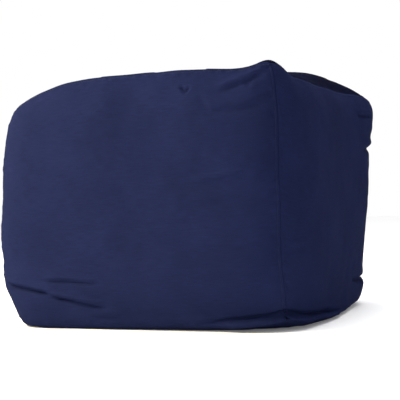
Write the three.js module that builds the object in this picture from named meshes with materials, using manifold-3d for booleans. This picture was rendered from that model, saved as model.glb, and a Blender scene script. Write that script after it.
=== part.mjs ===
// A cube-shaped bean bag chair: a canvas cover with a stretch-knit top and a zip low on the back,
// and inside it a sewn liner with a locking zip of its own, filled with polystyrene beads.
// Millimetres, +Z up, front towards -Y. The origin is on the floor, under the middle of the bag.
import * as THREE from "three";
import { mergeVertices } from "three/addons/utils/BufferGeometryUtils.js";
import Module from "manifold-3d";

const wasm = await Module();
wasm.setup();

// ---------------------------------------------------------------- driving dimensions
const BAG = {
  width: 680, // across X, at the widest
  depth: 650, // across Y, at the widest
  height: 503, // floor to the crown of the top
  planPower: 6, // squareness seen from above: 2 is round, higher is squarer
  sidePower: 6.5, // squareness seen from the side
  floorCut: 0.92, // how far down its own half height the floor cuts the bag flat
};
// How far the filled bag's top corners stand above, or sag below, the plain rounded box.
const CORNER_LIFT = { frontLeft: -28, frontRight: 30, backRight: 20, backLeft: -6 };
const CORNER_LIFT_REACH = 115;

const COVER_THICKNESS = 1.2;
const LINER_THICKNESS = 0.8;
const COVER_TO_LINER = 1.0; // slack between the two bags
const LINER_TO_FILL = 0.8;
const SEAM_GAP = 0.4; // between two panels where they are sewn together
const MESH_GAP = 0.3; // between two solids that touch

// One zip size serves both bags: a 6 mm coil chain on two woven tapes.
const ZIP = {
  tapeWidth: 14,
  tapeThickness: 0.6,
  coilWidth: 2.6,
  coilHeight: 2.4,
  coilGap: 0.9, // between the two rows of coil, for the slider's post
  slotClearance: 1.5, // slider to the edge of the fabric, above and below
  endAllowance: 10, // tape that runs on under the fabric past the slot
  stopLength: 3,
  stopInset: 4.5, // slot end to the outer face of a stop
};
const SLIDER = {
  length: 13,
  plate: 1.2,
  flange: 1.1,
  post: { length: 3, width: 0.3 },
  runningGap: 0.35, // slider to coil and tape
  stopGap: 1, // slider to stop at either end of its travel
};
const PULL_TAB = { length: 26, width: 7.5, thickness: 1.2, corner: 2.2, clearance: 0.45, sideClearance: 0.8 };
const BRIDGE = { length: 8.4, width: 1.6, leg: 1.4, top: 1.2 };
const LOCK_CAP = { length: 6, width: 4, height: 1.2 };

const COVER_ZIP = { height: 60, slotLength: 460 };
const LINER_ZIP = { height: 232, slotLength: 300 };
const SLIDER_TO_LAYER = 2; // from a slider to the layer of cloth or beads behind or over it
const POCKET_MARGIN = { along: 10, across: 25 }; // flat fabric past the tape's ends, and above and below the zip
const COVER_ZIP_INSET = 8; // cover zip's plane in from the bag's widest

const LABEL = { width: 36, drop: 34, thickness: 0.5, fromSlotEnd: 14, standoff: 0.5, corner: 1.5 };

// ---------------------------------------------------------------- materials
const cloth = (color, roughness) => new THREE.MeshStandardMaterial({ color, roughness, metalness: 0 });
const MATERIAL = {
  canvas: cloth(0x2b3052, 0.9),
  knit: cloth(0x0f1430, 0.95),
  liner: cloth(0xe6e4de, 0.9),
  tape: cloth(0x1d2240, 0.85),
  coil: cloth(0x1a1f3a, 0.45),
  label: cloth(0xeeeeea, 0.8),
  beads: cloth(0xf7f7f5, 0.6),
  metal: new THREE.MeshStandardMaterial({ color: 0x8b8d92, roughness: 0.35, metalness: 1 }),
};

const part = new THREE.Group();

function addPiece(name, geometry, material, parent = part) {
  const mesh = new THREE.Mesh(geometry, material);
  mesh.name = name;
  parent.add(mesh);
  return mesh;
}

// ---------------------------------------------------------------- joining and cutting
function toSolid(geometry) {
  const bare = new THREE.BufferGeometry();
  bare.setAttribute("position", geometry.getAttribute("position"));
  if (geometry.index) bare.setIndex(geometry.index);
  const merged = mergeVertices(bare, 1e-4);
  return new wasm.Manifold(
    new wasm.Mesh({
      numProp: 3,
      vertProperties: new Float32Array(merged.attributes.position.array),
      triVerts: new Uint32Array(merged.index.array),
    }),
  );
}

function toGeometry(solid) {
  const mesh = solid.getMesh();
  return new THREE.BufferGeometry()
    .setAttribute("position", new THREE.BufferAttribute(new Float32Array(mesh.vertProperties), 3))
    .setIndex(new THREE.BufferAttribute(new Uint32Array(mesh.triVerts), 1));
}

const join = (geometries) => toGeometry(geometries.map(toSolid).reduce((a, b) => a.add(b)));
const cut = (geometry, tool) => toGeometry(toSolid(geometry).subtract(toSolid(tool)));
const keepInside = (geometry, tool) => toGeometry(toSolid(geometry).intersect(toSolid(tool)));

// A box given by its lowest and highest corners.
function boxBetween(low, high) {
  const size = high.map((value, k) => value - low[k]);
  const middle = high.map((value, k) => (value + low[k]) / 2);
  return new THREE.BoxGeometry(...size).translate(...middle);
}

// ---------------------------------------------------------------- the shape of the filled bag
const halfWidth = BAG.width / 2;
const halfDepth = BAG.depth / 2;
const halfHeight = BAG.height / (1 + BAG.floorCut);
const floorDrop = halfHeight * BAG.floorCut; // from the bag's middle down to the floor

// The six faces of the cube that the bag is rounded from. u x v points out.
const FACES = {
  front: { out: [0, -1, 0], u: [1, 0, 0], v: [0, 0, 1] },
  right: { out: [1, 0, 0], u: [0, 1, 0], v: [0, 0, 1] },
  back: { out: [0, 1, 0], u: [-1, 0, 0], v: [0, 0, 1] },
  left: { out: [-1, 0, 0], u: [0, -1, 0], v: [0, 0, 1] },
  top: { out: [0, 0, 1], u: [1, 0, 0], v: [0, 1, 0] },
  bottom: { out: [0, 0, -1], u: [1, 0, 0], v: [0, -1, 0] },
};

const cornerPlaces = [
  [-1, -1, CORNER_LIFT.frontLeft],
  [1, -1, CORNER_LIFT.frontRight],
  [1, 1, CORNER_LIFT.backRight],
  [-1, 1, CORNER_LIFT.backLeft],
];
const cornerShare = 3 ** (-1 / BAG.planPower); // of the half size, where a corner of the cube lands

function cornerLiftAt(x, y) {
  let lift = 0;
  for (const [sideX, sideY, height] of cornerPlaces) {
    const away = Math.hypot(x - sideX * halfWidth * cornerShare, y - sideY * halfDepth * cornerShare);
    lift += height * Math.exp(-((away / CORNER_LIFT_REACH) ** 2));
  }
  return lift;
}

// The bag's outer surface above a point of the cube. The corners lift only towards the top.
function skinPoint(face, u, v) {
  const cube = [0, 1, 2].map((k) => face.out[k] + face.u[k] * u + face.v[k] * v);
  const plan = (Math.abs(cube[0]) ** BAG.planPower + Math.abs(cube[1]) ** BAG.planPower) ** (1 / BAG.planPower);
  const reach = (plan ** BAG.sidePower + Math.abs(cube[2]) ** BAG.sidePower) ** (1 / BAG.sidePower);
  const x = (halfWidth * cube[0]) / reach;
  const y = (halfDepth * cube[1]) / reach;
  const level = cube[2] / reach; // -1 at the underside of the uncut bag, 1 at its crown
  const z = Math.max(level * halfHeight + floorDrop, 0);
  return new THREE.Vector3(x, y, z + cornerLiftAt(x, y) * THREE.MathUtils.smoothstep(level, 0.1, 0.85));
}

function skinNormal(face, u, v) {
  const step = 1e-3;
  const alongU = skinPoint(face, u + step, v).sub(skinPoint(face, u - step, v));
  const alongV = skinPoint(face, u, v + step).sub(skinPoint(face, u, v - step));
  return alongU.cross(alongV).normalize();
}

// Grid lines of a side face against millimetres, measured along the middle of the face.
const spread = (share, power) => share / (1 - Math.abs(share) ** power) ** (1 / power);
const gather = (line, power) => line / (1 + Math.abs(line) ** power) ** (1 / power);
const rowAtHeight = (height) => spread((height - floorDrop) / halfHeight, BAG.sidePower);
const heightOfRow = (v) => gather(v, BAG.sidePower) * halfHeight + floorDrop;
const columnAtDistance = (distance) => spread(distance / halfWidth, BAG.planPower);
const distanceOfColumn = (u) => gather(u, BAG.planPower) * halfWidth;

// ---------------------------------------------------------------- how the zip's pieces fit one another
const coilInner = ZIP.coilGap / 2;
const coilOuter = coilInner + ZIP.coilWidth;
const sliderWidth = 2 * (coilOuter + SLIDER.runningGap + SLIDER.flange);
const slotHeight = sliderWidth + 2 * ZIP.slotClearance;
const bridgeOpening = PULL_TAB.thickness * Math.SQRT2 + 2 * PULL_TAB.clearance; // the bar turns in it
const bridgeReach = Math.hypot(BRIDGE.length / 2, bridgeOpening / 2 + BRIDGE.top); // from the tab's pivot

// How far a slider reaches behind and in front of the fabric that its zip is sewn to.
const behindFabric = (fabric) => fabric + MESH_GAP + ZIP.tapeThickness + SLIDER.runningGap + SLIDER.plate;
const beforeFabric = (fabric) => ZIP.coilHeight + SLIDER.runningGap + SLIDER.plate - fabric;

// ---------------------------------------------------------------- flat pockets for the two zips
// Every layer is flat round a zip, on a plane of its own. Grid lines run along each pocket's edges.
function pocketFor(zip) {
  return {
    column: columnAtDistance(zip.slotLength / 2 + ZIP.endAllowance + POCKET_MARGIN.along),
    low: rowAtHeight(zip.height - POCKET_MARGIN.across),
    high: rowAtHeight(zip.height + POCKET_MARGIN.across),
  };
}
const coverZipPocket = pocketFor(COVER_ZIP);
const linerZipPocket = pocketFor(LINER_ZIP);

function inPocket(pocket, face, u, v) {
  const slack = 1e-6;
  const inRows = v > pocket.low - slack && v < pocket.high + slack;
  return face === FACES.back && inRows && Math.abs(u) < pocket.column + slack;
}

const coverZipPlane = halfDepth - COVER_ZIP_INSET;
const linerZipPlane =
  halfDepth - COVER_THICKNESS - SLIDER_TO_LAYER - LOCK_CAP.height - beforeFabric(LINER_THICKNESS);

// Each layer is a surface a set distance inside the skin, with its own planes behind the zips.
function layer(depth, coverPocketPlane, linerPocketPlane) {
  const onPlane = (pocket, plane, u, v) => {
    const narrowed = 1 - depth / distanceOfColumn(pocket.column); // so that the layers nest at the ends too
    return new THREE.Vector3(skinPoint(FACES.back, u, v).x * narrowed, plane, heightOfRow(v));
  };
  return (face, u, v) => {
    if (inPocket(coverZipPocket, face, u, v)) return onPlane(coverZipPocket, coverPocketPlane, u, v);
    if (linerPocketPlane !== null && inPocket(linerZipPocket, face, u, v)) {
      return onPlane(linerZipPocket, linerPocketPlane, u, v);
    }
    return skinPoint(face, u, v).addScaledVector(skinNormal(face, u, v), -depth);
  };
}
const linerDepth = COVER_THICKNESS + COVER_TO_LINER;
const fillDepth = linerDepth + LINER_THICKNESS + LINER_TO_FILL;
const behindCoverZip = coverZipPlane - behindFabric(COVER_THICKNESS) - SLIDER_TO_LAYER;
const fillBehindLinerZip = linerZipPlane - behindFabric(LINER_THICKNESS) - SLIDER_TO_LAYER;
const LAYERS = {
  coverOuter: layer(0, coverZipPlane, null),
  coverInner: layer(COVER_THICKNESS, coverZipPlane - COVER_THICKNESS, null),
  linerOuter: layer(linerDepth, behindCoverZip, linerZipPlane),
  linerInner: layer(linerDepth + LINER_THICKNESS, behindCoverZip - LINER_THICKNESS, linerZipPlane - LINER_THICKNESS),
  fill: layer(fillDepth, behindCoverZip - LINER_THICKNESS - LINER_TO_FILL, fillBehindLinerZip),
};

// Grid lines, closer together where the bag curves.
const edgeLines = [0.84, 0.93];
const middleLine = 0.22;
const acrossHalf = [middleLine, linerZipPocket.column, coverZipPocket.column, ...edgeLines, 1].sort((a, b) => a - b);
const across = [...acrossHalf.map((value) => -value).reverse(), ...acrossHalf];
const heightShares = [0.62, 0.74, 0.84, 0.91]; // of the bag's height, above the zips
const up = [
  -1,
  rowAtHeight(BAG.height * 0.025),
  coverZipPocket.low,
  coverZipPocket.high,
  rowAtHeight((COVER_ZIP.height + LINER_ZIP.height) / 2),
  linerZipPocket.low,
  linerZipPocket.high,
  ...heightShares.map((share) => rowAtHeight(BAG.height * share)),
  1,
].sort((a, b) => a - b);

// ---------------------------------------------------------------- fabric panels
// One face of the bag between two layers, as a closed solid, stopped short of its seams.
function panelGeometry(faceName, outer, inner) {
  const face = FACES[faceName];
  const lines = faceName === "top" || faceName === "bottom" ? [across, across] : [across, up];
  const halfGap = SEAM_GAP / 2 / halfDepth;
  const [us, vs] = lines.map((values) => values.map((value) => THREE.MathUtils.clamp(value, halfGap - 1, 1 - halfGap)));
  const columns = us.length;
  const rows = vs.length;
  const positions = [];
  for (const surface of [outer, inner]) {
    for (const v of vs) for (const u of us) positions.push(...surface(face, u, v).toArray());
  }
  const at = (side, i, j) => side * columns * rows + j * columns + i;
  const index = [];
  const quad = (a, b, c, d) => index.push(a, b, c, a, c, d);
  for (let j = 0; j < rows - 1; j++) {
    for (let i = 0; i < columns - 1; i++) {
      quad(at(0, i, j), at(0, i + 1, j), at(0, i + 1, j + 1), at(0, i, j + 1));
      quad(at(1, i, j), at(1, i, j + 1), at(1, i + 1, j + 1), at(1, i + 1, j));
    }
  }
  for (let i = 0; i < columns - 1; i++) {
    quad(at(1, i, 0), at(1, i + 1, 0), at(0, i + 1, 0), at(0, i, 0));
    quad(at(0, i, rows - 1), at(0, i + 1, rows - 1), at(1, i + 1, rows - 1), at(1, i, rows - 1));
  }
  for (let j = 0; j < rows - 1; j++) {
    quad(at(0, 0, j), at(0, 0, j + 1), at(1, 0, j + 1), at(1, 0, j));
    quad(at(1, columns - 1, j), at(1, columns - 1, j + 1), at(0, columns - 1, j + 1), at(0, columns - 1, j));
  }
  return new THREE.BufferGeometry()
    .setAttribute("position", new THREE.Float32BufferAttribute(positions, 3))
    .setIndex(index);
}

// The bead fill: all six faces of one layer, closed into a solid.
function fillGeometry() {
  const positions = [];
  const index = [];
  for (const [name, face] of Object.entries(FACES)) {
    const [us, vs] = name === "top" || name === "bottom" ? [across, across] : [across, up];
    const start = positions.length / 3;
    for (const v of vs) for (const u of us) positions.push(...LAYERS.fill(face, u, v).toArray());
    for (let j = 0; j < vs.length - 1; j++) {
      for (let i = 0; i < us.length - 1; i++) {
        const a = start + j * us.length + i;
        const b = a + us.length;
        index.push(a, a + 1, b + 1, a, b + 1, b);
      }
    }
  }
  const open = new THREE.BufferGeometry()
    .setAttribute("position", new THREE.Float32BufferAttribute(positions, 3))
    .setIndex(index);
  return mergeVertices(open, 1e-2);
}

// Splits a back panel at its zip: a slot for the zip, and a plain seam on either side of it.
function splitAtZip(panel, zip) {
  const far = BAG.width;
  const halfSlot = zip.slotLength / 2;
  const slot = boxBetween(
    [-halfSlot, 0, zip.height - slotHeight / 2],
    [halfSlot, far, zip.height + slotHeight / 2],
  );
  const seam = zip.height + SEAM_GAP / 2;
  const above = boxBetween([-far, 0, seam], [far, far, BAG.height * 2]);
  const below = boxBetween([-far, 0, -far], [far, far, seam - SEAM_GAP]);
  const slotted = cut(panel, slot);
  return { upper: keepInside(slotted, above), lower: keepInside(slotted, below) };
}

function addCover() {
  const panel = (face) => panelGeometry(face, LAYERS.coverOuter, LAYERS.coverInner);
  for (const face of ["front", "right", "left", "bottom"]) addPiece(`cover_${face}_panel`, panel(face), MATERIAL.canvas);
  addPiece("cover_top_panel", panel("top"), MATERIAL.knit);
  const back = splitAtZip(panel("back"), COVER_ZIP);
  addPiece("cover_back_panel", back.upper, MATERIAL.canvas);
  addPiece("cover_back_zip_strip", back.lower, MATERIAL.canvas);
}

function addLiner() {
  const panel = (face) => panelGeometry(face, LAYERS.linerOuter, LAYERS.linerInner);
  for (const face of ["front", "right", "left", "top", "bottom"]) {
    addPiece(`liner_${face}_panel`, panel(face), MATERIAL.liner);
  }
  const back = splitAtZip(panel("back"), LINER_ZIP);
  addPiece("liner_back_upper_panel", back.upper, MATERIAL.liner);
  addPiece("liner_back_lower_panel", back.lower, MATERIAL.liner);
}

// ---------------------------------------------------------------- zips
// A zip's own frame: X along the zip, Y out of the bag from the fabric's outer face, Z up, middle at the origin.
function tapeFaces(fabric) {
  const front = -fabric - MESH_GAP; // tape lies behind the fabric
  return { front, back: front - ZIP.tapeThickness };
}

function addTapesAndCoils(prefix, zip, fabric, group) {
  const { front, back } = tapeFaces(fabric);
  const tapeHalf = zip.slotLength / 2 + ZIP.endAllowance;
  const coilHalf = zip.slotLength / 2 - ZIP.stopInset - ZIP.stopLength - MESH_GAP;
  for (const [side, sign] of [["upper", 1], ["lower", -1]]) {
    const band = (low, high) => [low, high].map((value) => value * sign).sort((a, b) => a - b);
    const [tapeLow, tapeHigh] = band(coilInner, coilInner + ZIP.tapeWidth);
    const [coilLow, coilHigh] = band(coilInner, coilOuter);
    const tape = boxBetween([-tapeHalf, back, tapeLow], [tapeHalf, front, tapeHigh]);
    const coil = boxBetween(
      [-coilHalf, front + MESH_GAP, coilLow],
      [coilHalf, front + MESH_GAP + ZIP.coilHeight, coilHigh],
    );
    addPiece(`${prefix}_tape_${side}`, tape, MATERIAL.tape, group);
    addPiece(`${prefix}_coil_${side}`, coil, MATERIAL.coil, group);
  }
  return { coilHalf, coilFront: front + MESH_GAP + ZIP.coilHeight, tapeBack: back, tapeFront: front };
}

// Two metal clips end the coil where the zip closes, and one box joins both rows where it opens.
function addStops(prefix, chain, group) {
  const inner = chain.coilHalf + MESH_GAP;
  const outer = inner + ZIP.stopLength;
  const base = chain.tapeFront + MESH_GAP;
  const stop = (x, low, high) => boxBetween([x[0], base, low], [x[1], chain.coilFront, high]);
  const closed = [inner, outer];
  const open = [-outer, -inner];
  addPiece(`${prefix}_top_stop_upper`, stop(closed, coilInner, coilOuter), MATERIAL.metal, group);
  addPiece(`${prefix}_top_stop_lower`, stop(closed, -coilOuter, -coilInner), MATERIAL.metal, group);
  addPiece(`${prefix}_bottom_stop`, stop(open, -coilOuter, coilOuter), MATERIAL.metal, group);
}

// A plate of the slider: straight at the back, drawn in at its nose.
function sliderPlate(yLow) {
  const halfLength = SLIDER.length / 2;
  const half = sliderWidth / 2;
  const nose = half * 0.72;
  const outline = new THREE.Shape();
  outline.moveTo(-halfLength, -nose);
  outline.lineTo(-halfLength * 0.35, -half);
  outline.lineTo(halfLength, -half);
  outline.lineTo(halfLength, half);
  outline.lineTo(-halfLength * 0.35, half);
  outline.lineTo(-halfLength, nose);
  outline.closePath();
  return new THREE.ExtrudeGeometry(outline, { depth: SLIDER.plate, bevelEnabled: false })
    .rotateX(Math.PI / 2)
    .translate(0, yLow + SLIDER.plate, 0);
}

function sliderGeometry(chain, extras) {
  const topPlate = chain.coilFront + SLIDER.runningGap;
  const underPlate = chain.tapeBack - SLIDER.runningGap - SLIDER.plate;
  const half = sliderWidth / 2;
  const overlap = SLIDER.plate / 2; // pieces of the slider run into each other, to be one casting
  const flangeFoot = chain.tapeFront + SLIDER.runningGap;
  const flangeEnds = [-SLIDER.length * 0.17, SLIDER.length / 2];
  const flange = (low, high) =>
    boxBetween([flangeEnds[0], flangeFoot, low], [flangeEnds[1], topPlate + overlap, high]);
  const post = boxBetween(
    [SLIDER.length / 2 - SLIDER.post.length, underPlate + overlap, -SLIDER.post.width / 2],
    [SLIDER.length / 2, topPlate + overlap, SLIDER.post.width / 2],
  );
  return join([
    sliderPlate(topPlate),
    sliderPlate(underPlate),
    flange(half - SLIDER.flange, half),
    flange(-half, SLIDER.flange - half),
    post,
    ...extras(topPlate + SLIDER.plate, overlap),
  ]);
}

// The arch that the pull tab hangs in.
function bridgePieces(deck, overlap) {
  const halfLength = BRIDGE.length / 2;
  const halfWidthOfBridge = BRIDGE.width / 2;
  const crown = deck + bridgeOpening + BRIDGE.top;
  const leg = (low, high) => boxBetween([low, deck - overlap, -halfWidthOfBridge], [high, crown, halfWidthOfBridge]);
  const beam = boxBetween(
    [-halfLength, deck + bridgeOpening, -halfWidthOfBridge],
    [halfLength, crown, halfWidthOfBridge],
  );
  return [leg(-halfLength, BRIDGE.leg - halfLength), leg(halfLength - BRIDGE.leg, halfLength), beam];
}

// The low cover over the pin that locks the liner's slider, which has no pull tab.
function lockCapPieces(deck, overlap) {
  const { length, width, height } = LOCK_CAP;
  return [boxBetween([-length / 2, deck - overlap, -width / 2], [length / 2, deck + height, width / 2])];
}

// A tab with rounded ends, pointing to -X from the bar that turns in the bridge.
function pullTabGeometry() {
  const { length, width, thickness, corner, clearance, sideClearance } = PULL_TAB;
  const halfBar = thickness / 2;
  const half = width / 2;
  const halfEye = BRIDGE.width / 2 + sideClearance;
  const eyeEnd = -bridgeReach - clearance;
  const outline = new THREE.Shape();
  outline.moveTo(halfBar, -half + corner / 2);
  outline.lineTo(halfBar, half - corner / 2);
  outline.quadraticCurveTo(halfBar, half, halfBar - corner / 2, half);
  outline.lineTo(corner - length, half);
  outline.absarc(corner - length, half - corner, corner, Math.PI / 2, Math.PI, false);
  outline.lineTo(-length, corner - half);
  outline.absarc(corner - length, corner - half, corner, Math.PI, 1.5 * Math.PI, false);
  outline.lineTo(halfBar - corner / 2, -half);
  outline.quadraticCurveTo(halfBar, -half, halfBar, -half + corner / 2);
  const eye = new THREE.Path();
  eye.moveTo(-halfBar, -halfEye);
  eye.lineTo(eyeEnd, -halfEye);
  eye.lineTo(eyeEnd, halfEye);
  eye.lineTo(-halfBar, halfEye);
  eye.closePath();
  outline.holes.push(eye);
  return new THREE.ExtrudeGeometry(outline, { depth: thickness, bevelEnabled: false, curveSegments: 5 })
    .rotateX(Math.PI / 2)
    .translate(0, thickness / 2, 0);
}

function zipGroup(zip, plane) {
  const group = new THREE.Group();
  group.position.set(0, plane, zip.height);
  part.add(group);
  return group;
}

function closedSliderX(chain) {
  return chain.coilHalf - SLIDER.stopGap - SLIDER.length / 2;
}

function addCoverZip() {
  const group = zipGroup(COVER_ZIP, coverZipPlane);
  const chain = addTapesAndCoils("zip", COVER_ZIP, COVER_THICKNESS, group);
  addStops("zip", chain, group);
  const slider = new THREE.Group();
  slider.position.x = closedSliderX(chain);
  group.add(slider);
  addPiece("zip_slider", sliderGeometry(chain, bridgePieces), MATERIAL.metal, slider);
  const deck = chain.coilFront + SLIDER.runningGap + SLIDER.plate;
  const tab = addPiece("zip_pull_tab", pullTabGeometry(), MATERIAL.metal, slider);
  tab.position.y = deck + bridgeOpening / 2;
}

function addLinerZip() {
  const group = zipGroup(LINER_ZIP, linerZipPlane);
  const chain = addTapesAndCoils("liner_zip", LINER_ZIP, LINER_THICKNESS, group);
  addStops("liner_zip", chain, group);
  const slider = addPiece("liner_zip_slider", sliderGeometry(chain, lockCapPieces), MATERIAL.metal, group);
  slider.position.x = closedSliderX(chain);
}

// A blank care label, stitched into the seam beside the zip and hanging over the zip strip.
function addCareLabel() {
  const { width, drop, thickness, fromSlotEnd, standoff } = LABEL;
  const x = -COVER_ZIP.slotLength / 2 + fromSlotEnd;
  const y = coverZipPlane + standoff;
  const top = COVER_ZIP.height - slotHeight / 2 - MESH_GAP;
  const label = boxBetween([x, y, top - drop], [x + width, y + thickness, top]);
  addPiece("care_label", label, MATERIAL.label);
}

addCover();
addLiner();
addPiece("bead_fill", fillGeometry(), MATERIAL.beads);
addCoverZip();
addLinerZip();
addCareLabel();

export default part;
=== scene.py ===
import math

import bmesh
import bpy
import numpy as np
from mathutils import Matrix, Vector


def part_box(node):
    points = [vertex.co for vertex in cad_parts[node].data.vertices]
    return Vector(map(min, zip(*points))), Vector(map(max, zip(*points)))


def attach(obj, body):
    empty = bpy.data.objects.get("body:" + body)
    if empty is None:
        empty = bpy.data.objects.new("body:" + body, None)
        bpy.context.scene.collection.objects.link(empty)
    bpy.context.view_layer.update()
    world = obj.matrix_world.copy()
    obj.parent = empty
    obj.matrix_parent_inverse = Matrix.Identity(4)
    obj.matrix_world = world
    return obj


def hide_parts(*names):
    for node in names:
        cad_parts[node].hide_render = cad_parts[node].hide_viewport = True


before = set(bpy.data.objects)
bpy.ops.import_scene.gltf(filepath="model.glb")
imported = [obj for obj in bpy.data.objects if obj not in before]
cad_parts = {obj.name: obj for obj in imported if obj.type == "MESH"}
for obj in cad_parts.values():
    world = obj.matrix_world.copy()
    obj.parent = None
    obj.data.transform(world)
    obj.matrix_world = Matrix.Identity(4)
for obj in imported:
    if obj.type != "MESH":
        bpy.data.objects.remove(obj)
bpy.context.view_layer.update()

# ---------------------------------------------------------------- sizes, in metres
front_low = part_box("cover_front_panel")[0]
right_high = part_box("cover_right_panel")[1]
HALF_WIDTH = right_high.x
HALF_DEPTH = -front_low.y
CROWN = 0.503  # height of the middle of the top
FLOOR_CUT = 0.92  # how far below the middle the bag's round is cut flat by the floor
PLAN_POWER = 6.0
SIDE_POWER = 6.6
HALF_HEIGHT = CROWN / (1 + FLOOR_CUT)
FLOOR_DROP = HALF_HEIGHT * FLOOR_CUT
# about where the top's corners lie, and how high, as a share of the half height
CORNER_X, CORNER_Y = (half * 3 ** (-1 / PLAN_POWER) for half in (HALF_WIDTH, HALF_DEPTH))
CORNER_LEVEL = 0.84
CORNER_LIFT = {(-1, -1): -0.0245, (1, -1): 0.0090, (1, 1): 0.0088, (-1, 1): -0.0042}
LIFT_REACH = 0.116
UPPER = (0.1, 0.85)  # the levels between which the lifts of the top set in
EDGE_RIDGE = {"front": 0.0235, "right": 0.0025, "back": 0.004, "left": 0.004}  # how far a top seam stands up
RIDGE_WIDTH = (0.016, 0.035)  # half width of a ridge: on the top beside the front seam, and anywhere else
RIDGE_POWER = (1.1, 1.5)
RIDGE_LEAN = 0.5  # how far a ridge leans out for its height
EAR = (0.0290, 0.0388, 1.9)  # height, reach and power of the peak where three seams meet at the front right
EAR_BACK = 0.006  # how far the peak lies behind the corner
FAR_CORNER_PULL = np.array([0.0395, 0.026, -0.0050])  # the top back right corner is drawn out
FAR_CORNER_REACH = (0.075, 1.3)  # reach and power of that pull
CROWN_BULGE = (0.230, 0.088, 0.0236, 0.138)  # where the top is fullest: x, y, height and reach
# how far the back right and front left corners lean out, as (distance, height, spread) of each swell or hollow
BACK_RIGHT_LEAN = ((-0.0155, 0.098, 0.078), (-0.004, 0.010, 0.018), (0.003, 0.335, 0.055))
FRONT_RIGHT_FLAP = (0.026, 0.005, 0.017)  # how far the foot of the front right corner is filled out, as above
FRONT_LEFT_LEAN = ((-0.004, 0.400, 0.050), (0.006, 0.165, 0.060), (-0.043, 0.028, 0.055))
FOOT_FORWARD = 0.014  # how far the foot of the front stands back
FOOT_SKEW = (0.17, 0.15)  # how much the front's foot swings forward at the left, and from what height
RIGHT_FOOT = (0.012, 0.026)  # how far the foot of the right side spreads, and up to what height
RIGHT_FOOT_SWELL = (1.2, -0.02, 0.10)  # how much more it spreads in its middle: share, place along y and reach
FOOT_LIFT = ((-1, 0.015), (1, 0.014))  # how far the right corners stand off the floor: side, height
FOOT_LIFT_REACH = 0.035
CLOTH = 0.0012  # thickness of the cover's fabric

FACES = {
    "front": ((0, -1, 0), (1, 0, 0), (0, 0, 1)),
    "right": ((1, 0, 0), (0, 1, 0), (0, 0, 1)),
    "back": ((0, 1, 0), (-1, 0, 0), (0, 0, 1)),
    "left": ((-1, 0, 0), (0, -1, 0), (0, 0, 1)),
    "top": ((0, 0, 1), (1, 0, 0), (0, 1, 0)),
    "bottom": ((0, 0, -1), (1, 0, 0), (0, -1, 0)),
}
SIDES = {"front": ((0, -1), 0), "right": ((1, 0), 1), "back": ((0, 1), 0), "left": ((-1, 0), 1)}


def smooth_step(x, low, high):
    t = np.clip((x - low) / (high - low), 0, 1)
    return t * t * (3 - 2 * t)


def bell(x, width, power=2):
    return np.exp(-((x / width) ** power))


def cube_points(face, u, v):
    out, along_u, along_v = (np.array(a, float) for a in FACES[face])
    return out + u[..., None] * along_u + v[..., None] * along_v


def toward(p, side_x, side_y):
    """How far places lie towards one of the bag's upright corners, from 0 to 1."""
    return np.clip((side_x * p[..., 0] / HALF_WIDTH + side_y * p[..., 1] / HALF_DEPTH) / 2, 0, 1)


def off_corner(x, y, level, side_y, back, upright):
    """Distance from the top's right corner at the front (-1) or back (1); `upright` weighs the level's part."""
    return np.hypot(np.hypot(x - CORNER_X, y - side_y * CORNER_Y - back), np.abs(level - CORNER_LEVEL) * upright)


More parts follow.
